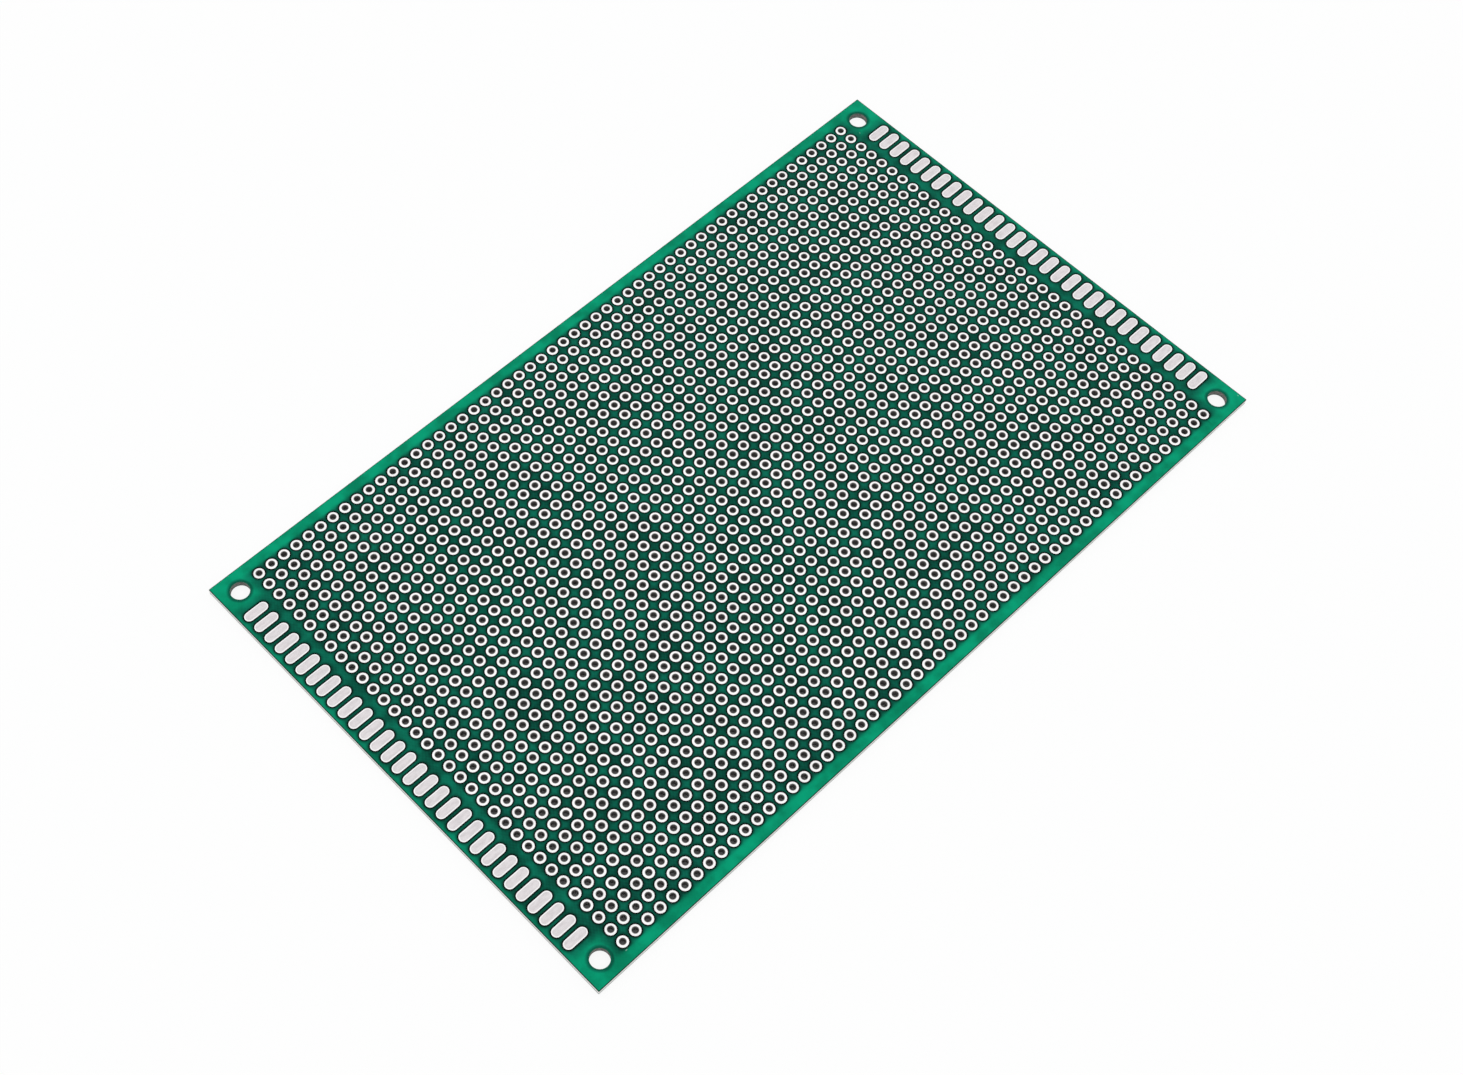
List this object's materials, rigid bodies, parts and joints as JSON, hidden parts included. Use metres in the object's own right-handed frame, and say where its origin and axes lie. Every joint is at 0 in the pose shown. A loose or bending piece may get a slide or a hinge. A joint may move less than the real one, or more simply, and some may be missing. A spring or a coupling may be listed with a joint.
{
  "type": "prototype board",
  "caption": "Double-sided prototyping board: a green glass-epoxy sheet with a full grid of plated lead holes, finger pads along both short ends and a screw hole in each corner.",
  "frame": {"origin": "centre of the board's footprint, on the plane of the lower pads that it rests on", "axes": "+X along the board from the near end to the far end, +Y across it, +Z out of the upper face"},
  "size_m": [0.15, 0.09, 0.0013],
  "materials": {
    "green_mask_laminate": "green solder mask, satin gloss",
    "tinned_copper": "bright hot-dipped tin"
  },
  "bodies": {
    "root": {"laminate": "green_mask_laminate", "plated_row_01": "tinned_copper", "plated_row_02": "tinned_copper", "plated_row_03": "tinned_copper", "plated_row_04": "tinned_copper", "plated_row_05": "tinned_copper", "plated_row_06": "tinned_copper", "plated_row_07": "tinned_copper", "plated_row_08": "tinned_copper", "plated_row_09": "tinned_copper", "plated_row_10": "tinned_copper", "plated_row_11": "tinned_copper", "plated_row_12": "tinned_copper", "plated_row_13": "tinned_copper", "plated_row_14": "tinned_copper", "plated_row_15": "tinned_copper", "plated_row_16": "tinned_copper", "plated_row_17": "tinned_copper", "plated_row_18": "tinned_copper", "plated_row_19": "tinned_copper", "plated_row_20": "tinned_copper", "plated_row_21": "tinned_copper", "plated_row_22": "tinned_copper", "plated_row_23": "tinned_copper", "plated_row_24": "tinned_copper", "plated_row_25": "tinned_copper", "plated_row_26": "tinned_copper", "plated_row_27": "tinned_copper", "plated_row_28": "tinned_copper", "plated_row_29": "tinned_copper", "plated_row_30": "tinned_copper", "plated_row_31": "tinned_copper", "plated_row_32": "tinned_copper", "plated_row_33": "tinned_copper", "plated_row_34": "tinned_copper", "near_fingers_top": "tinned_copper", "far_fingers_top": "tinned_copper", "near_fingers_bottom": "tinned_copper", "far_fingers_bottom": "tinned_copper"}
  },
  "joints": []
}
